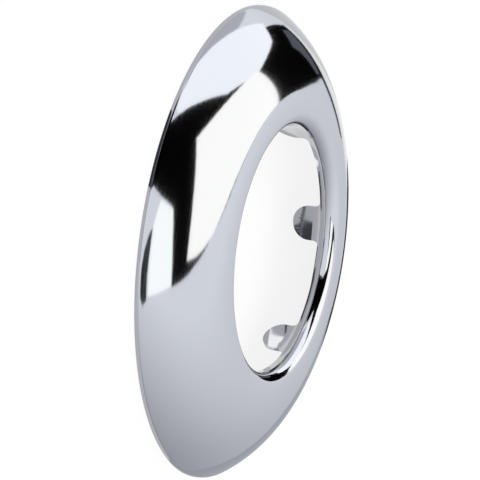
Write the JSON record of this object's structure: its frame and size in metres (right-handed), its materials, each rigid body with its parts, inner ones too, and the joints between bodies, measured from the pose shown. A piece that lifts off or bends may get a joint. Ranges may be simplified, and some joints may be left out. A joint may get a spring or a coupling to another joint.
{
  "type": "siphon escutcheon",
  "caption": "Round domed cover plate for a trap's outlet tube: a thin chrome-plated pressing with a rolled bore and spring tongues on the collar behind it.",
  "frame": {"origin": "centre of the rim's back plane, on the axis of the bore", "axes": "+Z along the tube's axis, out of the wall towards the domed front; +X through the middle of a spring tongue"},
  "size_m": [0.062, 0.062, 0.0078],
  "materials": {
    "chrome_plate": "polished"
  },
  "bodies": {
    "root": {"escutcheon": "chrome_plate"}
  },
  "joints": []
}
